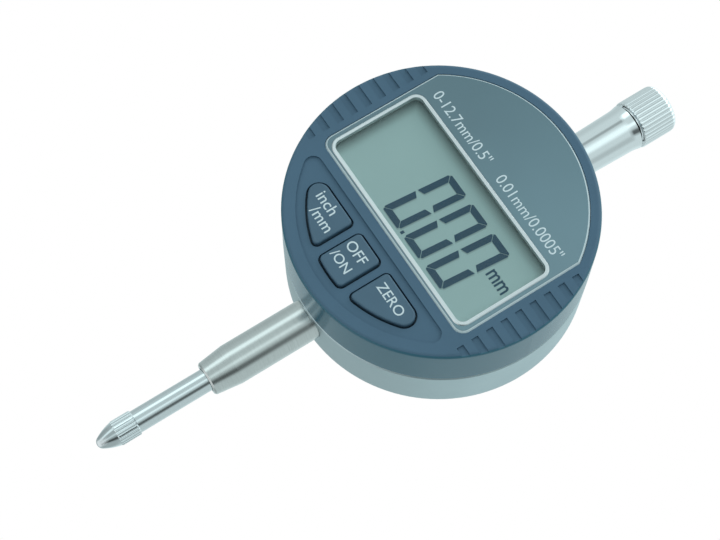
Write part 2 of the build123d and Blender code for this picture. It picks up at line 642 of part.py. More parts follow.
def contact_point():
    """Fluted band, bullet-shaped nose and threaded stud."""
    nose_z = POINT_TIP_Z + POINT_NOSE_R
    lean = POINT_NOSE_LEAN
    touch = (POINT_NOSE_R * cos(lean), nose_z - POINT_NOSE_R * sin(lean))
    half_way = (lean + pi / 2) / 2
    nose_middle = (POINT_NOSE_R * cos(half_way), nose_z - POINT_NOSE_R * sin(half_way))
    shoulder = (POINT_BAND_R - 0.12, POINT_BAND_END_Z)
    form = turned_on_z(
        Line((0, SPINDLE_END_Z), (POINT_BAND_R - 0.25, SPINDLE_END_Z)),
        Line((POINT_BAND_R - 0.25, SPINDLE_END_Z), (POINT_BAND_R, SPINDLE_END_Z - 0.25)),
        Line((POINT_BAND_R, SPINDLE_END_Z - 0.25), (POINT_BAND_R, POINT_BAND_END_Z + 0.2)),
        Line((POINT_BAND_R, POINT_BAND_END_Z + 0.2), shoulder),
        TangentArc(touch, shoulder, tangent=(sin(lean), cos(lean))),
        ThreePointArc(touch, nose_middle, (0, POINT_TIP_Z)),
        Line((0, POINT_TIP_Z), (0, SPINDLE_END_Z)),
    )
    band = rod(POINT_BAND_R + 1, POINT_BAND_END_Z, SPINDLE_END_Z)
    outline = Pos(0, 0, POINT_BAND_END_Z) * fluted(POINT_BAND_R, POINT_FLUTES, POINT_FLUTE_DEPTH)
    ribs = extrude(outline, SPINDLE_END_Z - POINT_BAND_END_Z)
    head = (form - band) + (form & ribs)
    return head + rod(POINT_THREAD_R, SPINDLE_END_Z - 0.5, SPINDLE_END_Z + POINT_THREAD_LENGTH)


def spindle_carrier():
    """Saddle on the spindle, with an arm for the scale strip and one that slides on the guide rod."""
    body = block(-CARRIER_HALF, CARRIER_HALF, CARRIER_FRONT_Y, CARRIER_BACK_Y, CARRIER_BOTTOM_Z, CARRIER_TOP_Z)
    body += block(ARM_LEFT_X, -CARRIER_HALF + 1, CARRIER_FRONT_Y, CARRIER_FRONT_Y + ARM_THICKNESS,
                  CARRIER_BOTTOM_Z, ARM_TOP_Z) - block(-6.2, 0, -9, 9, CARRIER_TOP_Z, ARM_TOP_Z + 1)
    body += block(CARRIER_HALF - 1, ARM_RIGHT_X, CARRIER_FRONT_Y, 2.2, CARRIER_BOTTOM_Z, CARRIER_TOP_Z)
    body -= rod(SPINDLE_R, CARRIER_BOTTOM_Z - 1, CARRIER_TOP_Z + 1)
    body -= rod(GUIDE_R + GUIDE_CLEARANCE, CARRIER_BOTTOM_Z - 1, CARRIER_TOP_Z + 1, GUIDE_X)
    for z in CARRIER_SCREW_Z:
        body -= disc(SMALL_SCREW[0], 0, CARRIER_BACK_Y + 1, 0, z)
    return body


def carrier_screws():
    """Two screws through the back of the carrier into the spindle."""
    return [screw_on_y(SMALL_SCREW, CARRIER_SCREW_LENGTH, 0, CARRIER_BACK_Y, z) for z in CARRIER_SCREW_Z]


def scale_strip():
    """Capacitive grid strip on the carrier's arm."""
    return block(ARM_LEFT_X, STRIP_RIGHT_X, CARRIER_FRONT_Y - STRIP_THICKNESS, CARRIER_FRONT_Y,
                 CARRIER_BOTTOM_Z + 0.5, ARM_TOP_Z)


def guide_rod():
    """Rod beside the spindle that keeps it from turning."""
    return rod(GUIDE_R, -BLOCK_Z - 2.5, BLOCK_Z + 3.0, GUIDE_X)


def stop_washer():
    """Soft washer that the carrier rests on at the bottom of its stroke."""
    return rod(STOP_R, -BLOCK_Z, -BLOCK_Z + STOP_THICKNESS) - rod(SPINDLE_R + 0.2, -BLOCK_Z - 1, 0)


def return_spring():
    """Compression spring on the guide rod, between the carrier's arm and the upper block."""
    bottom = CARRIER_TOP_Z + SPRING_WIRE_R + 0.03
    height = BLOCK_Z + 0.5 - SPRING_WIRE_R - 0.03 - bottom
    path = Pos(GUIDE_X, 0, bottom) * Helix(pitch=height / SPRING_TURNS, height=height, radius=SPRING_R)
    return sweep(Plane(origin=path @ 0, z_dir=path % 0) * Circle(SPRING_WIRE_R), path=path, is_frenet=True)


# --- sensor and battery -------------------------------------------------------------------
def sensor_board():
    """Circuit board with the fixed electrodes, on the back of the case's web."""
    board = block(SENSOR_LEFT_X, SENSOR_RIGHT_X, WEB_BACK_Y, WEB_BACK_Y + SENSOR_THICKNESS,
                  -SENSOR_HALF_HEIGHT, SENSOR_HALF_HEIGHT)
    for x, z in SENSOR_SCREW_PLACES:
        board -= disc(SMALL_SCREW[0] + 0.1, -9, 9, x, z)
        board -= disc(SMALL_SCREW[1] + 0.1, WEB_BACK_Y + 0.1, 9, x, z)
    return board


def sensor_board_screws():
    """Four short screws with their heads sunk in the board."""
    return [screw_on_y(SMALL_SCREW, 1.0, x, WEB_BACK_Y + 0.1, z) for x, z in SENSOR_SCREW_PLACES]


def sensor_connector():
    """Socket for the flex cable, in the middle of the hub."""
    return block(-2.0, 2.0, WEB_BACK_Y - 2.0, WEB_BACK_Y, -1.0, 1.0)


def sensor_chip():
    """Interpolator on the front of the sensor board, inside the web's opening."""
    return block(-5.8, -3.2, WEB_BACK_Y - 1.0, WEB_BACK_Y, -3.0, 3.0)


def battery():
    """Button cell with a smaller negative face."""
    front = BATTERY_BACK_Y - BATTERY_HEIGHT
    cell = disc(BATTERY_R, front + 0.5, BATTERY_BACK_Y, BATTERY_X, BATTERY_Z)
    return cell + disc(BATTERY_R - 1.2, front, front + 0.6, BATTERY_X, BATTERY_Z)


def battery_holder():
    """Plastic cup for the cell."""
    cup = disc(HOLDER_R, WEB_BACK_Y, BATTERY_BACK_Y - 0.3, BATTERY_X, BATTERY_Z)
    return cup - disc(HOLDER_BORE_R, WEB_BACK_Y + HOLDER_FLOOR, 9, BATTERY_X, BATTERY_Z)


def battery_contact():
    """Conical spring contact under the cell."""
    floor_y = WEB_BACK_Y + HOLDER_FLOOR
    top_y = BATTERY_BACK_Y - BATTERY_HEIGHT
    cone = turned_on_y([(4.6, floor_y), (4.9, floor_y), (2.2, top_y), (1.9, top_y)])
    return Pos(BATTERY_X, 0, BATTERY_Z) * cone


def battery_cap():
    """Coin-slot cap in the back cover."""
    flange_front = BACK_Y - CAP_FLANGE
    cap = disc(CAP_THREAD_R - 0.02, GASKET_BACK_Y, flange_front, BATTERY_X, BATTERY_Z)
    cap += disc(CAP_FLANGE_R, flange_front + SEAL_THICKNESS, BACK_Y + 0.15, BATTERY_X, BATTERY_Z)
    cap += disc(CAP_NECK_R, flange_front - 0.1, flange_front + SEAL_THICKNESS + 0.1, BATTERY_X, BATTERY_Z)
    return cap - slab(Pos(BATTERY_X, BATTERY_Z) * Rectangle(10.5, COIN_SLOT), BACK_Y - 0.65, BACK_Y + 1)


def battery_cap_seal():
    """Ring under the cap's flange."""
    front = BACK_Y - CAP_FLANGE
    ring = disc(CAP_FLANGE_R, front, front + SEAL_THICKNESS, BATTERY_X, BATTERY_Z)
    return ring - disc(CAP_NECK_R, 0, 9, BATTERY_X, BATTERY_Z)


# --- all pieces ---------------------------------------------------------------------------
def pieces():
    """Every node's name and its solid or solids."""
    bush_bottom = STEM_END_Z + 0.6 + SEAL_LENGTH
    made = {
        "front_cover": front_cover(),
        "face_plate": face_plate(),
        "lcd_frame": lcd_frame(),
        "window": window(),
        "lcd_glass": lcd_glass(),
        "lcd_reflector": lcd_reflector(),
        "contact_strip": contact_strip(),
        "display_board": display_board(),
        "display_board_screws": display_board_screws(),
        "controller_chip": controller_chip(),
        "keypad_mat": keypad_mat(),
        "head_base": head_base(),
        "head_base_screws": head_base_screws(),
        "flex_cable": flex_cable(),
        "case": case(),
        "retaining_ring": retaining_ring(),
        "retaining_ring_screws": retaining_ring_screws(),
        "friction_washer": friction_washer(),
        "back_gasket": back_gasket(),
        "back_cover": back_cover(),
        "back_cover_screws": back_cover_screws(),
        "stem": stem(),
        "lower_bush": bearing(bush_bottom, bush_bottom + BUSH_LENGTH),
        "spindle_seal": spindle_seal(),
        "top_sleeve": top_sleeve(),
        "upper_bush": bearing(BLOCK_Z + 1.0, BLOCK_Z + 1.0 + BUSH_LENGTH),
        "dust_cap": dust_cap(),
        "spindle": spindle(),
        "contact_point": contact_point(),
        "spindle_carrier": spindle_carrier(),
        "carrier_screws": carrier_screws(),
        "scale_strip": scale_strip(),
        "guide_rod": guide_rod(),
        "stop_washer": stop_washer(),
        "return_spring": return_spring(),
        "sensor_board": sensor_board(),
        "sensor_board_screws": sensor_board_screws(),
        "sensor_connector": sensor_connector(),
        "sensor_chip": sensor_chip(),
        "battery": battery(),
        "battery_holder": battery_holder(),
        "battery_contact": battery_contact(),
        "battery_cap": battery_cap(),
        "battery_cap_seal": battery_cap_seal(),
    }
    for name, (outline, post_x, post_z) in BUTTONS.items():
        made[name] = button(outline, post_x, post_z)
    return made


os.makedirs("parts", exist_ok=True)
for node, piece in pieces().items():
    save(piece, node)
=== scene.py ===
"""Looks of the digital dial indicator: finishes, lettering, digits, flutes, screws, lights and camera.

Metres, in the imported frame: +Z runs up the spindle, the face looks towards -Y, the origin is in the
middle of the stem's clamping length.
"""
import logging
import math
from dataclasses import dataclass, field
from enum import Enum
from typing import Iterable, Sequence

import bpy
from mathutils import Matrix, Vector


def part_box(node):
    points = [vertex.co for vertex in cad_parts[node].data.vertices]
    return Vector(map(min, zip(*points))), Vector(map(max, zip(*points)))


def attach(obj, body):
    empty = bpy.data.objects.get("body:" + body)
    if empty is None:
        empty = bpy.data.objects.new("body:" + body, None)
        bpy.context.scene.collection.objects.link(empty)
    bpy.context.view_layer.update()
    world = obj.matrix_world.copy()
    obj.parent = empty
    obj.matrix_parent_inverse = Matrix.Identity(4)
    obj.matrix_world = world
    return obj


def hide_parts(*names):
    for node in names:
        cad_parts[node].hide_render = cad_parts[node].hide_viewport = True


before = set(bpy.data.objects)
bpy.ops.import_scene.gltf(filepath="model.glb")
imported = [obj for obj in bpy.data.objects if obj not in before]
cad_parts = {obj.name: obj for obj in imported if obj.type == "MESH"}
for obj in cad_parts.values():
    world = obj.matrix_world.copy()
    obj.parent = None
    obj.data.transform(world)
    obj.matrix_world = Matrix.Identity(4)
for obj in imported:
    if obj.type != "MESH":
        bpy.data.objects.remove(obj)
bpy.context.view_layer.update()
MM = 0.001
LOG = logging.getLogger("indicator")


# --- shader and geometry maths ------------------------------------------------------------
class Value:
    """A number socket of a node tree; Python's operators on it add Math nodes."""

    def __init__(self, socket: bpy.types.NodeSocket) -> None:
        """Keep the socket and the tree that it belongs to."""
        self.socket = socket
        self.tree = socket.id_data

    def _math(self, operation: str, *others: "Value | float",
              first: "Value | float | None" = None) -> "Value":
        """Add one Math node.

        Args:
            operation: the Math node's operation.
            others: what follows this value in the node's inputs.
            first: what stands in the first input instead of this value.

        Returns:
            The node's result.
        """
        node = self.tree.nodes.new("ShaderNodeMath")
        node.operation = operation
        terms = (self, *others) if first is None else (first, self)
        for socket, term in zip(node.inputs, terms):
            if isinstance(term, Value):
                self.tree.links.new(term.socket, socket)
            else:
                socket.default_value = term
        return Value(node.outputs[0])

    def __add__(self, other: "Value | float") -> "Value":
        """Sum."""
        return self._math("ADD", other)

    __radd__ = __add__

    def __sub__(self, other: "Value | float") -> "Value":
        """Difference."""
        return self._math("SUBTRACT", other)

    def __rsub__(self, other: float) -> "Value":
        """Difference with a number on the left."""
        return self._math("SUBTRACT", first=other)

    def __mul__(self, other: "Value | float") -> "Value":
        """Product."""
        return self._math("MULTIPLY", other)

    __rmul__ = __mul__

    def __truediv__(self, other: "Value | float") -> "Value":
        """Quotient."""
        return self._math("DIVIDE", other)

    def __rtruediv__(self, other: float) -> "Value":
        """Quotient with a number on the left."""
        return self._math("DIVIDE", first=other)

    def __pow__(self, other: "Value | float") -> "Value":
        """Power."""
        return self._math("POWER", other)

    def __abs__(self) -> "Value":
        """Size without sign."""
        return self._math("ABSOLUTE")

    def __neg__(self) -> "Value":
        """Opposite sign."""
        return self._math("MULTIPLY", -1.0)

    def sine(self) -> "Value":
        """Sine, in radians."""
        return self._math("SINE")

    def root(self) -> "Value":
        """Square root."""
        return self._math("SQRT")

    def angle_to(self, across: "Value") -> "Value":
        """Angle of the point whose height is this value and whose width is across."""
        return self._math("ARCTAN2", across)

    def least(self, other: "Value | float") -> "Value":
        """The smaller of the two."""
        return self._math("MINIMUM", other)

    def most(self, other: "Value | float") -> "Value":
        """The larger of the two."""
        return self._math("MAXIMUM", other)

    def step(self, low: float, high: float) -> "Value":
        """Rise smoothly from 0 at low to 1 at high; a low above high gives a fall."""
        share = ((self - low) / (high - low)).most(0.0).least(1.0)
        return share * share * (3.0 - 2.0 * share)


class Tree:
    """A node tree and the one method that adds nodes to it."""

    def __init__(self, tree: bpy.types.NodeTree) -> None:
        """Keep the tree."""
        self.tree = tree

    def add(self, kind: str, settings: dict | None = None, **sockets: object) -> bpy.types.Node:
        """Add a node.

        Args:
            kind: the node's type.
            settings: its properties, set before its sockets; "stops" are a ramp's (place, colour) pairs.
            sockets: values or links by input name, with _ for a space, or inN for the input of that number.

        Returns:
            The node.
        """
        node = self.tree.nodes.new(kind)
        for name, setting in (settings or {}).items():
            if name == "stops":
                self._stops(node.color_ramp, setting)
            else:
                setattr(node, name, setting)
        for name, value in sockets.items():
            place = int(name[2:]) if name[:2] == "in" and name[2:].isdigit() else name.replace("_", " ")
            self.put(node.inputs[place], value)
        return node

    @staticmethod
    def _stops(ramp: bpy.types.ColorRamp, stops: Sequence[tuple[float, Sequence[float]]]) -> None:
        """Give a ramp its stops."""
        while len(ramp.elements) < len(stops):
            ramp.elements.new(0.5)
        for element, (place, colour) in zip(ramp.elements, stops):
            element.position = place
            element.color = (*colour, 1.0)

    def put(self, socket: bpy.types.NodeSocket, value: object) -> None:
        """Link or set one input."""
        if isinstance(value, Value):
            value = value.socket
        if isinstance(value, bpy.types.NodeSocket):
            self.tree.links.new(value, socket)
        elif socket.type == "RGBA" and len(value) == 3:
            socket.default_value = (*value, 1.0)
        else:
            socket.default_value = value

    def number(self, kind: str, output: int | str = 0, settings: dict | None = None,
               **sockets: object) -> Value:
        """Add a node and wrap one of its outputs as a number."""
        return Value(self.add(kind, settings, **sockets).outputs[output])


class Shader(Tree):
    """A material's tree, with its Principled shader and the places that patterns are laid on."""

    def __init__(self, name: str) -> None:
        """Start an empty material.

        Args:
            name: the material's name.
        """
        self.material = bpy.data.materials.new(name)
        self.material.use_nodes = True
        super().__init__(self.material.node_tree)
        self.tree.nodes.clear()
        self.output = self.add("ShaderNodeOutputMaterial")
        self.principled = self.add("ShaderNodeBsdfPrincipled")
        self.tree.links.new(self.principled.outputs[0], self.output.inputs[0])
        self.place = self.add("ShaderNodeTexCoord").outputs["Object"]
        split = self.add("ShaderNodeSeparateXYZ", Vector=self.place)
        self.x, self.y, self.z = (Value(out) for out in split.outputs)

    def set(self, **sockets: object) -> None:
        """Set or link inputs of the Principled shader."""
        for name, value in sockets.items():
            self.put(self.principled.inputs[name.replace("_", " ")], value)

    def noise(self, scale: float, detail: float = 2.0, stretch: Sequence[float] = (1.0, 1.0, 1.0),
              vector: object = None) -> Value:
        """Noise on the object's own coordinates.

        Args:
            scale: features per metre.
            detail: octaves.
            stretch: factors along X, Y and Z.
            vector: coordinates to use instead of the object's.

        Returns:
            The noise, about 0 to 1.
        """
        mapping = self.add("ShaderNodeMapping", Vector=vector or self.place, Scale=tuple(stretch))
        return self.number("ShaderNodeTexNoise", "Fac", Vector=mapping.outputs[0], Scale=scale, Detail=detail)

    def mix(self, factor: Value | float, low: object, high: object) -> bpy.types.NodeSocket:
        """Mix two colours."""
        node = self.add("ShaderNodeMix", {"data_type": "RGBA"}, in0=factor, in6=low, in7=high)
        return node.outputs[2]

    def bump(self, height: Value, distance: float, strength: float = 1.0, under: object = None) -> object:
        """Bump from a height between 0 and 1.

        Args:
            height: the height.
            distance: metres that a height of 1 stands for.
            strength: share of the effect.
            under: a normal that this one adds to.

        Returns:
            The bumped normal.
        """
        node = self.add("ShaderNodeBump", Height=height, Distance=distance, Strength=strength)
        if under is not None:
            self.put(node.inputs["Normal"], under)
        return node.outputs[0]

    def around(self, centre: Vector, axis: str) -> tuple[Value, Value]:
        """Distance from an axis and angle round it.

        Args:
            centre: a point on the axis.
            axis: "Y" or "Z".

        Returns:
            Radius in metres and angle in radians.
        """
        across = self.x - centre.x
        up = self.z - centre.z if axis == "Y" else self.y - centre.y
        return (across * across + up * up).root(), up.angle_to(across)

    def vector(self, x: Value | float, y: Value | float, z: Value | float) -> bpy.types.NodeSocket:
        """Vector of three numbers."""
        return self.add("ShaderNodeCombineXYZ", X=x, Y=y, Z=z).outputs[0]


# --- finishes -----------------------------------------------------------------------------
MADE: dict[str, bpy.types.Material] = {}


class Finish:
    """A way a surface is made. Each kind builds its material once."""

    name: str

    def paint(self, shader: Shader) -> None:
        """Set up the shader."""
        raise NotImplementedError

    def material(self) -> bpy.types.Material:
        """Return the finish's material, made on first use."""
        if self.name not in MADE:
            shader = Shader(self.name)
            self.paint(shader)
            MADE[self.name] = shader.material
        return MADE[self.name]


@dataclass(frozen=True)
class MouldedPlastic(Finish):
    """Injection-moulded plastic with a spark-eroded texture, polished outside a radius."""

    name: str
    colour: tuple[float, float, float]
    roughness: float = 0.5
    grain: float = 0.004 * MM
    centre: Vector | None = None
    polished_from: float = 0.0
    polished_colour: tuple[float, float, float] = (0.0, 0.0, 0.0)
    shine: float = 0.5

    def paint(self, shader: Shader) -> None:
        """Fine grain, slight mottling and, past the radius, a polished wall."""
        grain = shader.noise(5200.0, 2.0)
        mottle = shader.noise(90.0, 3.0)
        dark = tuple(0.9 * part for part in self.colour)
        light = tuple(1.1 * part for part in self.colour)
        colour = shader.mix(mottle, dark, light)
        roughness = self.roughness + 0.12 * (mottle - 0.5) + 0.1 * (grain - 0.5)
        height = grain
        if self.centre is not None:
            radius, _ = shader.around(self.centre, "Y")
            wall = radius.step(self.polished_from, self.polished_from + 0.15 * MM)
            colour = shader.mix(wall, colour, self.polished_colour)
            roughness = roughness * (1.0 - wall) + (0.16 + 0.05 * mottle) * wall
            height = grain * (1.0 - 0.95 * wall)
        shader.set(Base_Color=colour, Roughness=roughness, Normal=shader.bump(height, self.grain))
        shader.set(Specular_IOR_Level=self.shine)


@dataclass(frozen=True)
class PlainPlastic(Finish):
    """Satin or soft plastic, rubber and silicone."""

    name: str
    colour: tuple[float, float, float]
    roughness: float = 0.55
    grain: float = 0.006 * MM
    scale: float = 3000.0

    def paint(self, shader: Shader) -> None:
        """Fine grain and slight mottling."""
        grain = shader.noise(self.scale, 2.0)
        mottle = shader.noise(120.0, 2.0)
        dark = tuple(0.85 * part for part in self.colour)
        light = tuple(1.15 * part for part in self.colour)
        shader.set(Base_Color=shader.mix(mottle, dark, light))
        shader.set(Roughness=self.roughness + 0.15 * (grain - 0.5), Normal=shader.bump(grain, self.grain))


class Lay(Enum):
    """Which way a metal's fine tool marks run."""

    ROUND_SPINDLE = "round the spindle axis"
    ROUND_DIAL = "round the dial axis"
    ALONG_X = "along X"
    ALONG_Z = "along Z"


@dataclass(frozen=True)
class Metal(Finish):
    """Bare or plated metal with tool marks that run one way."""

    name: str
    colour: tuple[float, float, float]
    roughness: float
    lay: Lay
    centre: Vector
    marks: float = 9000.0
    depth: float = 0.0012 * MM
    contrast: float = 0.06

    def paint(self, shader: Shader) -> None:
        """Marks as noise stretched along the lay, smudges in the roughness."""
        radius, angle = shader.around(self.centre, "Z" if self.lay is Lay.ROUND_SPINDLE else "Y")
        where = {
            Lay.ROUND_SPINDLE: shader.vector(radius, angle * (2.0 * MM), shader.z),
            Lay.ROUND_DIAL: shader.vector(radius, angle * (8.0 * MM), shader.y),
        }.get(self.lay, shader.place)
        stretch = {
            Lay.ROUND_SPINDLE: (1.0, 0.06, 1.0), Lay.ROUND_DIAL: (1.0, 0.05, 1.0),
            Lay.ALONG_X: (0.03, 1.0, 1.0), Lay.ALONG_Z: (1.0, 1.0, 0.03),
        }[self.lay]
        marks = shader.noise(self.marks, 2.0, stretch, where)
        smudge = shader.noise(140.0, 3.0)
        low = tuple((1.0 - self.contrast) * part for part in self.colour)
        high = tuple(min(1.0, (1.0 + self.contrast) * part) for part in self.colour)
        colour = shader.mix(marks, low, high)
        shader.set(Base_Color=colour, Metallic=1.0)
        rough = self.roughness * (0.8 + 0.25 * marks + 0.3 * (smudge - 0.3))
        shader.set(Roughness=rough.most(0.02), Normal=shader.bump(marks, self.depth))


@dataclass(frozen=True)
class PrintedPlate(Finish):
    """Clear acrylic printed on its back: deep colour under a hard gloss."""

    name: str
    colour: tuple[float, float, float]
    edge_colour: tuple[float, float, float]
    front: float
    # Half-width of the painted reflection that lightens the print from -X to +X.
    painted_reflection_width: float = 0.0

    def paint(self, shader: Shader) -> None:
        """Pearl print with random clouding and a painted reflection that lightens it towards +X, pale bevel
        behind the front plane, faint handling marks.
        """
        # Random clouding plus a painted reflection: the print grows lighter from left to right across the
        # given half-width.
        cloud = 0.4 * shader.noise(60.0, 2.0) + 0.6 * shader.x.step(-self.painted_reflection_width, self.painted_reflection_width)
        smear = shader.noise(700.0, 4.0, (1.0, 1.0, 0.3))
        bevel = shader.y.step(self.front + 0.02 * MM, self.front + 0.1 * MM)
        dark = tuple(0.8 * part for part in self.colour)
        light = tuple(1.22 * part for part in self.colour)
        print_colour = shader.mix(cloud, dark, light)
        shader.set(Base_Color=shader.mix(bevel, print_colour, self.edge_colour))
        shader.set(Roughness=0.07 + 0.06 * smear + 0.25 * bevel, Coat_Weight=1.0 - bevel)
        shader.set(Coat_Roughness=0.03, Specular_IOR_Level=0.5)


@dataclass(frozen=True)
class ClearSheet(Finish):
    """Thin clear sheet: lets light straight through and reflects a little."""

    name: str
    tint: tuple[float, float, float]
    shine: float = 0.02
    roughness: float = 0.04

    def paint(self, shader: Shader) -> None:
        """Transparent and glossy parts; the gloss grows alike on both faces as the pane is seen flatter."""
        smear = shader.noise(500.0, 3.0)
        clear = shader.add("ShaderNodeBsdfTransparent", Color=self.tint)
        gloss = shader.add("ShaderNodeBsdfGlossy", Color=(1.0, 1.0, 1.0), Roughness=self.roughness)
        flat = shader.number("ShaderNodeLayerWeight", "Facing", Blend=0.5)
        share = ((self.shine + 0.6 * flat ** 5.0) * (0.9 + 0.2 * smear)).least(1.0)
        mixed = shader.add("ShaderNodeMixShader", in0=share, in1=clear.outputs[0], in2=gloss.outputs[0])
        shader.tree.nodes.remove(shader.principled)
        shader.tree.links.new(mixed.outputs[0], shader.output.inputs[0])


@dataclass(frozen=True)
class LcdSheet(Finish):
    """Reflector behind the liquid crystal: pale, slightly metallic paint with a fine grain."""

    name: str
    colour: tuple[float, float, float]
    left: float
    top: float
    # Width of the painted frame shadow along the left and top edges.
    frame_shadow_width: float = 2.8 * MM

    def paint(self, shader: Shader) -> None:
        """Soft clouding, fine sparkle and a painted shadow of the window frame along the left and top edges.
        """
        cloud = shader.noise(45.0, 2.0)
        sparkle = shader.noise(3600.0, 2.0)
        low = tuple(0.9 * part for part in self.colour)
        high = tuple(1.08 * part for part in self.colour)
        pale = shader.mix(0.5 * cloud + 0.5 * sparkle, low, high)
        # Painted shadow of the window frame: near the opening's left and top edges the sheet darkens to about
        # a third of its colour.
        inside = (shader.x - self.left).least(self.top - shader.z).step(-0.2 * self.frame_shadow_width, self.frame_shadow_width)
        frame_shadow_colour = tuple(0.36 * part for part in self.colour)
        shader.set(Base_Color=shader.mix(inside, frame_shadow_colour, pale))
        shader.set(Roughness=0.6 + 0.1 * (sparkle - 0.5), Normal=shader.bump(sparkle, 0.002 * MM))


@dataclass(frozen=True)
class Ink(Finish):
    """Printed ink or a switched-on segment."""

    name: str
    colour: tuple[float, float, float]
    roughness: float = 0.5

    def paint(self, shader: Shader) -> None:
        """Slightly uneven coverage."""
        cover = shader.noise(2500.0, 2.0)
        thin = tuple(0.92 * part for part in self.colour)
        shader.set(Base_Color=shader.mix(cover, thin, self.colour))
        shader.set(Roughness=self.roughness + 0.1 * (cover - 0.5))


@dataclass(frozen=True)
class CircuitBoard(Finish):
    """Solder mask with tracks under it."""

    name: str
    colour: tuple[float, float, float]

    def paint(self, shader: Shader) -> None:
        """Tracks as a square pattern, plated in places."""
        weave = shader.number("ShaderNodeTexBrick", "Fac", Vector=shader.vector(shader.x, shader.z, 0.0),
                              Scale=350.0, Mortar_Size=0.12)
        light = tuple(1.6 * part for part in self.colour)
        shader.set(Base_Color=shader.mix(weave, self.colour, light), Roughness=0.3 + 0.15 * weave)
        shader.set(Normal=shader.bump(weave, 0.02 * MM))


@dataclass(frozen=True)
class Backdrop(Finish):
    """Pale card under the object that thins out to nothing at its rim."""

    name: str
    colour: tuple[float, float, float]
    radius: float

    def paint(self, shader: Shader) -> None:
        """Even colour with a soft rim."""
        away, _ = shader.around(Vector((0.0, 0.0, 0.0)), "Z")
        shader.set(Base_Color=self.colour, Roughness=0.8, Alpha=away.step(self.radius, 0.3 * self.radius))


# --- mesh helpers -------------------------------------------------------------------------
Point = tuple[float, float]


def new_piece(name: str, verts: Iterable[Sequence[float]], faces: Iterable[Sequence[int]],
              finish: Finish, smooth_under: float | None = None) -> bpy.types.Object:
    """Make a mesh object at the origin.

    Args:
        name: the piece's name.
        verts: vertex places in metres, in the frame.
        faces: vertex numbers of each face.
        finish: what it is made of.
        smooth_under: edges sharper than this many degrees stay sharp; None leaves all faces flat.

    Returns:
        The object, linked to the scene.
    """
    mesh = bpy.data.meshes.new(name)
    mesh.from_pydata([tuple(v) for v in verts], [], [tuple(f) for f in faces])
    mesh.validate()
    piece = bpy.data.objects.new(name, mesh)
    bpy.context.scene.collection.objects.link(piece)
    mesh.materials.append(finish.material())
    if smooth_under is not None:
        mesh.shade_smooth()
        mesh.set_sharp_from_angle(angle=math.radians(smooth_under))
    return piece


def turned(profile: Sequence[Point], steps: int, centre: Vector) -> tuple[list[Vector], list[list[int]]]:
    """Turn a profile of (radius, height) points about a vertical axis.

    Args:
        profile: the points, from the bottom axis point to the top one, both at radius 0.
        steps: faces round the axis.
        centre: a point on the axis; heights count from it.

    Returns:
        Vertices and faces.
    """
    rings = profile[1:-1]
    verts = [centre + Vector((0.0, 0.0, profile[0][1]))]
    for radius, height in rings:
        for step in range(steps):
            angle = 2.0 * math.pi * step / steps
            verts.append(centre + Vector((radius * math.cos(angle), radius * math.sin(angle), height)))
    verts.append(centre + Vector((0.0, 0.0, profile[-1][1])))
    faces = []
    last = len(verts) - 1
    for step in range(steps):
        after = (step + 1) % steps
        faces.append([0, 1 + after, 1 + step])
        for ring in range(len(rings) - 1):
            low, high = 1 + ring * steps, 1 + (ring + 1) * steps
            faces.append([low + step, low + after, high + after, high + step])
        top = 1 + (len(rings) - 1) * steps
        faces.append([last, top + step, top + after])
    return verts, faces


def arc(centre: Point, radius: float, start: float, end: float, steps: int) -> list[Point]:
    """Points on an arc, angles in degrees."""
    angles = [math.radians(start + (end - start) * n / steps) for n in range(steps + 1)]
    return [(centre[0] + radius * math.cos(a), centre[1] + radius * math.sin(a)) for a in angles]


def even(start: Point, end: Point, steps: int) -> list[Point]:
    """Points on a straight run, without its first point."""
    return [(start[0] + (end[0] - start[0]) * n / steps, start[1] + (end[1] - start[1]) * n / steps)
            for n in range(1, steps + 1)]


def prism(outline: Sequence[Point], front: float, back: float,
          start: int = 0) -> tuple[list[tuple[float, float, float]], list[list[int]]]:
    """Plate of an outline in X and Z.

    Args:
        outline: points (x, z), anticlockwise as seen from the front.
        front: Y of its front face.
        back: Y of its back face.
        start: number of its first vertex.

    Returns:
        Vertices and faces.
    """
    count = len(outline)
    verts = [(x, front, z) for x, z in outline] + [(x, back, z) for x, z in outline]
    faces = [[start + n for n in range(count)], [start + count + n for n in reversed(range(count))]]
    for n in range(count):
        after = (n + 1) % count
        faces.append([start + after, start + n, start + count + n, start + count + after])
    return verts, faces


def lettering(name: str, text: str, height: float, finish: Finish, place: Vector, stretch: float = 1.0,
              weight: float = 0.0, thickness: float = 0.02 * MM) -> bpy.types.Object:
    """Flat raised lettering that faces -Y.

    Args:
        name: the piece's name.
        text: what it says.
        height: height of a capital.
        finish: its ink.
        place: left end of the baseline, on the surface.
        stretch: width factor.
        weight: how much bolder than the plain face, in metres.
        thickness: how far it stands out.

    Returns:
        The piece as a mesh at the origin.
    """
    capital = 0.729
    size = height / capital
    curve = bpy.data.curves.new(name, "FONT")
    curve.body = text
    curve.size = size
    curve.offset = weight
    curve.extrude = thickness / 2
    curve.resolution_u = 6
    holder = bpy.data.objects.new(name + "_curve", curve)
    bpy.context.scene.collection.objects.link(holder)
    bpy.context.view_layer.update()
    evaluated = holder.evaluated_get(bpy.context.evaluated_depsgraph_get())
    mesh = bpy.data.meshes.new_from_object(evaluated)
    bpy.data.objects.remove(holder)
    turn = Matrix.Rotation(math.radians(90), 4, "X") @ Matrix.Diagonal((stretch, 1.0, 1.0, 1.0))
    mesh.transform(Matrix.Translation(place) @ turn)
    mesh.name = name
    piece = bpy.data.objects.new(name, mesh)
    bpy.context.scene.collection.objects.link(piece)
    mesh.materials.clear()
    mesh.materials.append(finish.material())
    return piece


def dress(node: str, finish: Finish) -> None:
    """Give a CAD node a finish."""
    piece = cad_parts[node]
    for place in piece.material_slots:
        place.material = finish.material()
    LOG.info("%s: %s", node, finish.name)


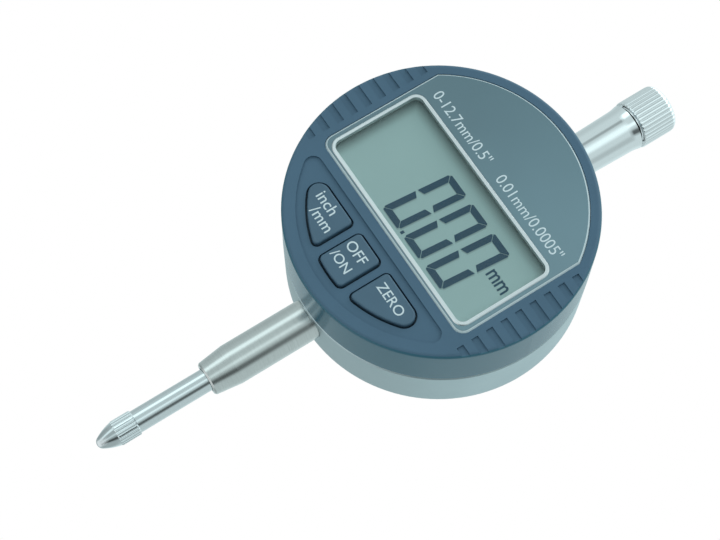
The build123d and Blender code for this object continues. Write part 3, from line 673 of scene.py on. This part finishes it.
# --- geometry node trees ------------------------------------------------------------------
class ShapeTree(Tree):
    """A geometry tree with named inputs that ends in Realize Instances and Set Material."""

    def __init__(self, name: str) -> None:
        """Start an empty tree with a geometry input and output."""
        super().__init__(bpy.data.node_groups.new(name, "GeometryNodeTree"))
        self.tree.interface.new_socket("Geometry", in_out="OUTPUT", socket_type="NodeSocketGeometry")
        self.tree.interface.new_socket("Geometry", in_out="INPUT", socket_type="NodeSocketGeometry")
        self.start = self.add("NodeGroupInput")

    def size(self, name: str, kind: str = "NodeSocketFloat") -> bpy.types.NodeSocket:
        """Add a named input and return its socket inside the tree."""
        self.tree.interface.new_socket(name, in_out="INPUT", socket_type=kind)
        return self.start.outputs[name]

    def end(self, geometry: bpy.types.NodeSocket) -> None:
        """Close the tree."""
        material = self.size("Finish", "NodeSocketMaterial")
        whole = self.add("GeometryNodeRealizeInstances", Geometry=geometry)
        made = self.add("GeometryNodeSetMaterial", Geometry=whole.outputs[0], Material=material)
        finish = self.add("NodeGroupOutput")
        self.put(finish.inputs[0], made.outputs[0])

    def apply(self, piece: bpy.types.Object, finish: Finish, **inputs: object) -> bpy.types.Object:
        """Run the tree on a piece and keep the result as a plain mesh.

        Args:
            piece: the object that the tree works on.
            finish: the material of the result.
            inputs: values of the named inputs, with _ for a space.

        Returns:
            The piece.
        """
        modifier = piece.modifiers.new("shape", "NODES")
        modifier.node_group = self.tree
        values = {name.replace("_", " "): value for name, value in inputs.items()}
        values["Finish"] = finish.material()
        for item in self.tree.interface.items_tree:
            if item.in_out == "INPUT" and item.name in values:
                modifier[item.identifier] = values[item.name]
        bpy.context.view_layer.update()
        evaluated = piece.evaluated_get(bpy.context.evaluated_depsgraph_get())
        mesh = bpy.data.meshes.new_from_object(evaluated)
        piece.modifiers.remove(modifier)
        old = piece.data
        piece.data = mesh
        bpy.data.meshes.remove(old)
        return piece


def flute_tree() -> ShapeTree:
    """Tree that sinks straight flutes into a turned piece between two heights."""
    shape = ShapeTree("straight flutes")
    flutes = Value(shape.size("Flutes"))
    depth = Value(shape.size("Depth"))
    low = Value(shape.size("Low End"))
    high = Value(shape.size("High End"))
    fade = Value(shape.size("Fade"))
    crest = Value(shape.size("Crest"))
    place = shape.add("GeometryNodeInputPosition").outputs[0]
    split = shape.add("ShaderNodeSeparateXYZ", Vector=place)
    x, y, z = (Value(out) for out in split.outputs)
    angle = y.angle_to(x)
    wave = abs((angle * flutes * 0.5).sine()) ** crest
    rise = ((z - low) / fade).most(0.0).least(1.0)
    fall = ((high - z) / fade).most(0.0).least(1.0)
    ends = (rise * fall) ** 0.5
    radius = (x * x + y * y).root().most(1e-6)
    inward = -(depth * (1.0 - wave) * ends) / radius
    offset = shape.add("ShaderNodeCombineXYZ", X=x * inward, Y=y * inward, Z=0.0).outputs[0]
    moved = shape.add("GeometryNodeSetPosition", Geometry=shape.start.outputs["Geometry"], Offset=offset)
    shape.end(moved.outputs[0])
    return shape


def place_tree() -> ShapeTree:
    """Tree that puts a copy of one object on every vertex, each turned by its own seeded angle."""
    shape = ShapeTree("copies on points")
    copy = shape.size("Copy", "NodeSocketObject")
    spread = shape.size("Turn Spread")
    seed = shape.size("Seed", "NodeSocketInt")
    info = shape.add("GeometryNodeObjectInfo", Object=copy)
    turn = shape.add("FunctionNodeRandomValue", {"data_type": "FLOAT"}, in2=0.0, in3=spread, Seed=seed)
    rotation = shape.add("ShaderNodeCombineXYZ", X=0.0, Y=turn.outputs[1], Z=0.0)
    points = shape.add("GeometryNodeMeshToPoints", Mesh=shape.start.outputs["Geometry"])
    copies = shape.add("GeometryNodeInstanceOnPoints", Points=points.outputs[0],
                       Instance=info.outputs["Geometry"], Rotation=rotation.outputs[0])
    shape.end(copies.outputs[0])
    return shape


# --- where things are ---------------------------------------------------------------------
FACE_LOW, FACE_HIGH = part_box("front_cover")
DIAL = Vector(((FACE_LOW.x + FACE_HIGH.x) / 2, 0.0, (FACE_LOW.z + FACE_HIGH.z) / 2)).freeze()
PLATE_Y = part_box("face_plate")[0].y

CHROME = (0.97, 0.975, 0.98)
STEEL = (0.70, 0.71, 0.72)
INK_WHITE = Ink("white_ink", (0.80, 0.88, 0.92), 0.45)


# --- sub-assemblies -----------------------------------------------------------------------
@dataclass
class Cover:
    """Front cover and the head's base."""

    colour: tuple[float, float, float] = (0.088, 0.163, 0.241)
    wall_colour: tuple[float, float, float] = (0.048, 0.155, 0.215)

    def dress(self) -> None:
        """Moulded plastic, polished on the outer wall."""
        radius = (FACE_HIGH.x - FACE_LOW.x) / 2
        plastic = MouldedPlastic("moulded_cover", self.colour, 0.5, centre=DIAL,
                                 polished_from=radius - 0.5 * MM, polished_colour=self.wall_colour, shine=0.3)
        dress("front_cover", plastic)
        dress("head_base", PlainPlastic("moulded_base", (0.02, 0.022, 0.024)))


@dataclass
class Buttons:
    """The three keys and their legends."""

    colour: tuple[float, float, float] = (0.082, 0.152, 0.220)
    weight: float = 0.012 * MM
    legends: dict[str, list[tuple[str, float, float, float]]] = field(default_factory=lambda: {
        "inch_mm_button": [("inch", -14.0, -18.3, 2.28), ("/mm", -12.1, -20.85, 2.25)],
        "off_on_button": [("OFF", -2.95, -19.0, 2.1), ("/ON", -2.95, -22.2, 1.95)],
        "zero_button": [("ZERO", 6.9, -18.7, 2.0)],
    })

    def dress(self) -> None:
        """Satin plastic keys with white legends."""
        plastic = PlainPlastic("key_plastic", self.colour, 0.42, 0.002 * MM, 5200.0)
        for key, lines in self.legends.items():
            dress(key, plastic)
            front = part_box(key)[0].y
            for number, (text, x, z, height) in enumerate(lines):
                place = DIAL + Vector((x * MM, front, z * MM))
                place.y = front
                name = f"{key}_legend_{number}"
                piece = lettering(name, text, height * MM, INK_WHITE, place, 1.0, self.weight)
                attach(piece, key)
                LOG.info("%s", name)


@dataclass
class Plate:
    """Glossy face plate, its frame and its printed line."""

    colour: tuple[float, float, float] = (0.170, 0.269, 0.316)
    edge_colour: tuple[float, float, float] = (0.80, 0.88, 0.90)
    letter_height: float = 2.3 * MM
    letter_width: float = 0.92
    baseline: float = 11.0 * MM

    def dress(self) -> None:
        """Printed acrylic, bright frame, clear pane and the white line."""
        # 22 mm is the half-width of the painted reflection that lightens the print towards +X.
        dress("face_plate", PrintedPlate("printed_plate", self.colour, self.edge_colour, PLATE_Y, 22.0 * MM))
        dress("lcd_frame", Metal("bright_frame", (0.93, 0.95, 0.96), 0.3, Lay.ALONG_X, DIAL, contrast=0.03))
        dress("window", ClearSheet("clear_pane", (0.97, 0.99, 0.985)))
        for number, (text, x) in enumerate((("0-12.7mm/0.5\"", -19.6), ("0.01mm/0.0005\"", 0.9))):
            place = DIAL + Vector((x * MM, 0.0, self.baseline))
            place.y = PLATE_Y
            piece = lettering(f"plate_line_{number}", text, self.letter_height, INK_WHITE, place,
                              self.letter_width)
            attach(piece, "display_head")
            LOG.info("plate_line_%d", number)


@dataclass
class Display:
    """Liquid crystal display: reflector, glass, digits, point and unit."""

    digit_height: float = 14.3 * MM
    digit_width: float = 5.35 * MM
    stroke: float = 1.3 * MM
    gap: float = 0.16 * MM
    slant: float = math.radians(5.0)
    pitch: float = 6.97 * MM
    first_x: float = -6.1 * MM
    bottom_z: float = -8.9 * MM
    thickness: float = 0.04 * MM
    sheet_colour: tuple[float, float, float] = (0.430, 0.545, 0.540)
    ink_colour: tuple[float, float, float] = (0.008, 0.055, 0.105)
    # A darker copy of the digits, set aside and sunk by these, is their painted shadow on the reflector.
    shade: float = 0.72
    shade_x: float = 0.26 * MM
    shade_sink: float = 0.03 * MM

    def segments(self) -> list[list[Point]]:
        """Outlines of the six segments of a nought, before the slant, from its lower left corner."""
        w, h, s, g = self.digit_width, self.digit_height, self.stroke, self.gap / 2
        middle, cut, nip = h / 2, 0.45 * s, 0.35 * s
        top = [(s + g, h - s), (w - s - g, h - s), (w - g - nip * 0.4, h - nip * 0.4 - g), (w - nip, h),
               (nip, h), (g + nip * 0.4, h - nip * 0.4 - g)]
        bottom = [(x, h - z) for x, z in reversed(top)]
        left_up = [(0.0, middle + g + 0.1 * s), (s, middle + g + cut + 0.1 * s), (s, h - s - g),
                   (nip * 0.5, h - nip * 0.5 - 2 * g), (0.0, h - nip - 2 * g)]
        left_low = [(x, h - z) for x, z in reversed(left_up)]
        right_up = [(w - x, z) for x, z in reversed(left_up)]
        right_low = [(w - x, h - z) for x, z in left_up]
        return [top, bottom, left_up, left_low, right_up, right_low]

    def digit(self, finish: Finish) -> bpy.types.Object:
        """One nought at the origin, to be copied."""
        verts, faces = [], []
        for outline in self.segments():
            slanted = [(x + z * math.tan(self.slant), z) for x, z in outline]
            more, sides = prism(slanted, -self.thickness, 0.0, len(verts))
            verts += more
            faces += sides
        return new_piece("nought", verts, faces, finish)

    def dress(self) -> None:
        """Sheets, then what the display shows, and a painted shadow of the digits on the reflector."""
        corner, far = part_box("window")
        sheet = LcdSheet("lcd_sheet", self.sheet_colour, corner.x, far.z)
        dress("lcd_reflector", sheet)
        dress("lcd_glass", sheet)
        ink = Ink("segment_ink", self.ink_colour, 0.5)
        shade = Ink("segment_shade", tuple(self.shade * part for part in self.sheet_colour), 0.6)
        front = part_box("lcd_glass")[0].y
        start = DIAL + Vector((self.first_x, 0.0, self.bottom_z))
        shown = []
        # The second layer is the digits' painted shadow: darker sheet colour, offset to the right and down,
        # behind the digits.
        layers = (("lcd_digits", ink, 0.0, 0.0), ("lcd_digit_shade", shade, self.shade_x, self.shade_sink))
        for name, finish, aside, lift in layers:
            nought = self.digit(finish)
            places = [(start.x + aside + n * self.pitch, front + lift, start.z - aside / 2) for n in range(3)]
            digits = new_piece(name, places, [], finish)
            place_tree().apply(digits, finish, Copy=nought, Turn_Spread=0.0, Seed=1)
            bpy.data.objects.remove(nought)
            shown.append(digits)
        point = [(-0.3 * MM, 0.0), (0.28 * MM, 0.0), (0.33 * MM, 0.75 * MM), (-0.25 * MM, 0.75 * MM)]
        dot = [(x + DIAL.x + 0.05 * MM, z + start.z) for x, z in point]
        verts, faces = prism(dot, front - self.thickness, front)
        shown.append(new_piece("lcd_point", verts, faces, ink))
        unit_place = DIAL + Vector((14.75 * MM, 0.0, -0.45 * MM))
        unit_place.y = front - self.thickness / 2
        shown.append(lettering("lcd_unit", "mm", 3.0 * MM, ink, unit_place, 0.82, 0.06 * MM, self.thickness))
        for piece in shown:
            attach(piece, "display_head")
            LOG.info("%s", piece.name)


@dataclass
class Drum:
    """Case, back cover, its screws and the battery cap."""

    screw_head: float = 1.75 * MM
    screw_rise: float = 1.0 * MM

    def screw(self, finish: Finish) -> bpy.types.Object:
        """Pan head with a cross recess, its seat on Y = 0 and its top towards +Y."""
        steps, rings = 48, 14
        depth, arm_width, arm_reach, dome = 0.45, 0.16, 0.62, 0.3
        verts: list[Sequence[float]] = [(0.0, self.screw_rise * (1.0 - depth), 0.0)]
        faces: list[Sequence[int]] = []
        for ring in range(1, rings + 2):
            share = min(1.0, ring / rings)
            for step in range(steps):
                angle = 2.0 * math.pi * step / steps
                across, up = share * math.cos(angle), share * math.sin(angle)
                arm, reach = sorted((abs(across), abs(up)))
                sunk = (depth * max(0.0, 1.0 - (arm / arm_width) ** 4)
                        * max(0.0, 1.0 - (reach / arm_reach) ** 3))
                rise = 0.0 if ring > rings else self.screw_rise * (1.0 - dome * share ** 4 - sunk)
                verts.append((self.screw_head * across, rise, self.screw_head * up))
        for step in range(steps):
            after = (step + 1) % steps
            faces.append((0, 1 + after, 1 + step))
            for ring in range(rings):
                low, high = 1 + ring * steps, 1 + (ring + 1) * steps
                faces.append((low + step, low + after, high + after, high + step))
        return new_piece("screw", verts, faces, finish, 50.0)

    def dress(self) -> None:
        """Satin case and back, bright screws."""
        dress("case", Metal("case_satin", (0.54, 0.63, 0.655), 0.42, Lay.ROUND_DIAL, DIAL, 7000.0))
        back = Metal("back_satin", (0.58, 0.62, 0.64), 0.34, Lay.ALONG_X, DIAL, 5000.0, contrast=0.14)
        dress("back_cover", back)
        dress("battery_cap", PlainPlastic("moulded_cap", (0.03, 0.033, 0.036), 0.45))
        self.screws(Metal("screw_steel", STEEL, 0.22, Lay.ROUND_DIAL, DIAL))

    def screws(self, steel: Finish) -> None:
        """Four pan heads, each turned as far as it was driven, in place of the CAD ones."""
        low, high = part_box("back_cover_screws")
        seat = high.y - self.screw_rise
        centres = [(x, seat, z) for x in (low.x + self.screw_head, high.x - self.screw_head)
                   for z in (low.z + self.screw_head, high.z - self.screw_head)]
        head = self.screw(steel)
        heads = new_piece("driven_screws", centres, [], steel)
        place_tree().apply(heads, steel, Copy=head, Turn_Spread=math.pi / 2, Seed=4)
        bpy.data.objects.remove(head)
        heads.data.shade_smooth()
        heads.data.set_sharp_from_angle(angle=math.radians(50))
        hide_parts("back_cover_screws")
        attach(heads, "indicator_case")
        LOG.info("driven_screws")


@dataclass
class StemGroup:
    """Stem, sleeve and dust cap."""

    flutes: int = 32
    flute_depth: float = 0.28 * MM

    def dress(self) -> None:
        """Brushed stem, polished sleeve and fluted cap."""
        brushed = Metal("stem_brushed", (0.69, 0.69, 0.675), 0.2, Lay.ROUND_SPINDLE, DIAL, 9000.0,
                        0.002 * MM, 0.14)
        dress("stem", brushed)
        chrome = Metal("polished_chrome", CHROME, 0.07, Lay.ROUND_SPINDLE, DIAL, 9000.0, 0.0003 * MM, 0.02)
        dress("top_sleeve", chrome)
        self.cap(chrome)

    def cap(self, chrome: Finish) -> None:
        """Fluted cap in place of the CAD one."""
        low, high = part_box("dust_cap")
        radius = (high.x - low.x) / 2
        height = high.z - low.z
        edge, bore, recess, foot = 1.2 * MM, 3.9 * MM, 0.9 * MM, 0.35 * MM
        steps_per_flute = 14
        profile = [(0.0, recess), (bore, recess), (bore, 0.05 * MM), (radius - 0.6 * MM, 0.0)]
        profile += arc((radius - foot, foot), foot, -90, 0, 6)
        profile += even((radius, foot), (radius, height - edge), 14)
        profile += arc((radius - edge, height - edge), edge, 0, 90, 12)[1:]
        profile += [(0.5 * radius, height), (0.0, height)]
        axis = Vector(((low.x + high.x) / 2, (low.y + high.y) / 2, low.z))
        verts, faces = turned(profile, self.flutes * steps_per_flute, axis)
        piece = new_piece("fluted_cap", verts, faces, chrome)
        flute_tree().apply(piece, chrome, Flutes=float(self.flutes), Depth=self.flute_depth,
                           Low_End=low.z + 0.1 * MM, High_End=high.z - 0.25 * MM, Fade=0.9 * MM, Crest=0.42)
        piece.data.shade_smooth()
        piece.data.set_sharp_from_angle(angle=math.radians(50))
        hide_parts("dust_cap")
        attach(piece, "indicator_case")
        LOG.info("fluted_cap")


@dataclass
class Plunger:
    """Spindle and contact point."""

    rod_colour: tuple[float, float, float] = (0.78, 0.80, 0.81)
    point_colour: tuple[float, float, float] = (0.86, 0.88, 0.89)

    def dress(self) -> None:
        """Lapped spindle, bright contact point."""
        dress("spindle", Metal("spindle_lapped", self.rod_colour, 0.15, Lay.ROUND_SPINDLE, DIAL, 5000.0))
        bright = Metal("point_bright", self.point_colour, 0.08, Lay.ROUND_SPINDLE, DIAL, 7000.0)
        dress("contact_point", bright)


@dataclass
class Internals:
    """Pieces inside the case and the head."""

    def dress(self) -> None:
        """Plain but honest finishes for everything inside."""
        steel = Metal("inner_steel", STEEL, 0.3, Lay.ALONG_Z, DIAL)
        aluminium = Metal("milled_aluminium", (0.72, 0.73, 0.74), 0.35, Lay.ALONG_X, DIAL)
        rubber = PlainPlastic("soft_rubber", (0.02, 0.02, 0.021), 0.75)
        black = PlainPlastic("black_moulding", (0.025, 0.025, 0.027), 0.5)
        board = CircuitBoard("green_board", (0.02, 0.11, 0.05))
        finishes = {
            steel: ("guide_rod", "return_spring", "battery", "battery_contact", "retaining_ring",
                    "retaining_ring_screws", "display_board_screws", "head_base_screws", "carrier_screws",
                    "sensor_board_screws"),
            aluminium: ("spindle_carrier",),
            rubber: ("spindle_seal", "back_gasket", "stop_washer", "battery_cap_seal", "contact_strip"),
            black: ("controller_chip", "sensor_chip", "battery_holder", "sensor_connector"),
            board: ("display_board", "sensor_board", "scale_strip"),
            PlainPlastic("silicone_mat", (0.25, 0.26, 0.27), 0.7): ("keypad_mat",),
            PlainPlastic("natural_nylon", (0.7, 0.69, 0.65), 0.5): ("friction_washer",),
            PlainPlastic("polyimide", (0.42, 0.2, 0.04), 0.3): ("flex_cable",),
            Metal("bush_bronze", (0.62, 0.40, 0.16), 0.3, Lay.ROUND_SPINDLE, DIAL): (
                "lower_bush", "upper_bush"),
        }
        for finish, nodes in finishes.items():
            for node in nodes:
                dress(node, finish)


@dataclass(frozen=True)
class Card:
    """Soft-edged strip light or dark screen in the surroundings.

    azimuth and half_width are degrees from straight in front of the face, change is a share of the wall's
    brightness, and low and high are degrees of elevation.
    """

    azimuth: float
    half_width: float
    change: float
    low: float
    high: float

    def share(self, turn: Value, up: Value) -> Value:
        """How much of the card is seen in a direction.

        Args:
            turn: azimuth of the direction in degrees.
            up: the direction's height, -1 to 1.

        Returns:
            The change in brightness.
        """
        off = abs(turn - self.azimuth)
        off = off.least(360.0 - off)
        across = off.step(self.half_width, 0.15 * self.half_width)
        low, high = math.sin(math.radians(self.low)), math.sin(math.radians(self.high))
        along = up.step(low - 0.08, low + 0.08) * up.step(high + 0.08, high - 0.08)
        return self.change * across * along


@dataclass
class Studio:
    """Floor, lights and camera."""

    target: Vector = field(default_factory=lambda: Vector((-3.0 * MM, 0.0, 22.4 * MM)))
    distance: float = 303.3 * MM
    azimuth: float = 18.55
    elevation: float = -11.75
    roll: float = 59.17
    lens: float = 80.0
    floor_z: float = -260.0 * MM
    floor_radius: float = 0.30
    ceiling: float = 0.95
    wall: float = 0.66
    ground: float = 0.42
    tint: tuple[float, float, float] = (0.82, 1.0, 1.02)
    cards: tuple[Card, ...] = (
        Card(-38.0, 20.0, 1.15, -60.0, 13.0),
        Card(16.0, 28.0, 0.55, 13.0, 48.0),
        Card(18.0, 14.0, 0.60, -60.0, 13.0),
        Card(57.0, 25.0, -0.82, -60.0, 13.0),
        Card(82.0, 26.0, -0.25, 13.0, 48.0),
        Card(-24.0, 13.0, -0.45, 15.0, 40.0),
        Card(-100.0, 40.0, -0.15, -60.0, 40.0),
        Card(172.0, 40.0, 0.2, -60.0, 40.0),
    )
    lights: tuple[tuple, ...] = (
        ("top", -10.0, 62.0, 0.9, (0.7, 0.5), 1.0),
        ("left", -75.0, 62.0, 0.9, (0.5, 0.5), 0.6),
    )

    def camera(self) -> None:
        """Camera that looks up at the face, rolled so that the spindle points to the lower left."""
        data = bpy.data.cameras.new("camera")
        data.lens = self.lens
        data.sensor_width = 36.0
        data.clip_start = 0.01
        camera = bpy.data.objects.new("camera", data)
        azimuth, elevation = math.radians(self.azimuth), math.radians(self.elevation)
        back = Vector((math.sin(azimuth) * math.cos(elevation), -math.cos(azimuth) * math.cos(elevation),
                       math.sin(elevation)))
        level = back.to_track_quat("Z", "Y").to_matrix().to_4x4()
        turn = Matrix.Rotation(math.radians(self.roll), 4, "Z")
        camera.matrix_world = Matrix.Translation(self.target + back * self.distance) @ level @ turn
        bpy.context.scene.collection.objects.link(camera)
        bpy.context.scene.camera = camera

    def area(self, name: str, azimuth: float, elevation: float, distance: float, size: Point,
             power: float) -> None:
        """Soft rectangular light that looks at the dial.

        Args:
            name: the light's name.
            azimuth: degrees from straight in front of the face, towards +X.
            elevation: degrees above the horizon.
            distance: metres from the dial.
            size: width and height in metres.
            power: watts.
        """
        data = bpy.data.lights.new(name, "AREA")
        data.shape = "RECTANGLE"
        data.size, data.size_y = size
        data.energy = power
        light = bpy.data.objects.new(name, data)
        side, up = math.radians(azimuth), math.radians(elevation)
        away = Vector((math.sin(side) * math.cos(up), -math.cos(side) * math.cos(up), math.sin(up)))
        facing = away.to_track_quat("Z", "Y").to_matrix().to_4x4()
        light.matrix_world = Matrix.Translation(DIAL + away * distance) @ facing
        bpy.context.scene.collection.objects.link(light)

    def world(self) -> None:
        """Bright ceiling and greyer walls with strips and screens on them, plain white to the eye."""
        world = bpy.data.worlds.new("studio")
        world.use_nodes = True
        tree = Tree(world.node_tree)
        world.node_tree.nodes.clear()
        place = tree.add("ShaderNodeTexCoord").outputs["Generated"]
        split = tree.add("ShaderNodeSeparateXYZ", Vector=place)
        x, y, up = (Value(out) for out in split.outputs)
        turn = x.angle_to(-y) * math.degrees(1.0)
        light = self.ground + (self.wall - self.ground) * up.step(-0.4, -0.1)
        light = light + (self.ceiling - self.wall) * up.step(0.45, 0.85)
        for card in self.cards:
            light = light * (1.0 + card.share(turn, up))
        seen = tree.number("ShaderNodeLightPath", "Is Camera Ray")
        tone = tree.add("ShaderNodeMix", {"data_type": "RGBA"}, in0=seen, in6=self.tint, in7=(1.0, 1.0, 1.0))
        strength = light * (1.0 - seen) + seen
        background = tree.add("ShaderNodeBackground", Color=tone.outputs[2], Strength=strength)
        output = tree.add("ShaderNodeOutputWorld")
        tree.put(output.inputs[0], background.outputs[0])
        bpy.context.scene.world = world

    def floor(self) -> None:
        """Plain pale floor under the object."""
        finish = Backdrop("floor_white", (0.95, 0.87, 0.87), self.floor_radius)
        rim = arc((0.0, 0.0), self.floor_radius, 0.0, 360.0, 96)[:-1]
        corners = [(x, y, self.floor_z) for x, y in rim]
        new_piece("floor", corners, [range(len(corners))], finish)

    def build(self) -> None:
        """Everything round the object."""
        self.world()
        self.floor()
        for light in self.lights:
            self.area(*light)
        self.camera()
        settings = bpy.context.scene.view_settings
        settings.view_transform = "Standard"
        settings.look = "None"
        LOG.info("studio")


def main() -> None:
    """Build every sub-assembly in order."""
    logging.basicConfig(level=logging.INFO, format="%(name)s: %(message)s")
    Studio().build()
    for part in (Cover(), Buttons(), Plate(), Display(), Drum(), StemGroup(), Plunger(), Internals()):
        part.dress()
        LOG.info("%s done", type(part).__name__)


if __name__ == "__main__":
    main()
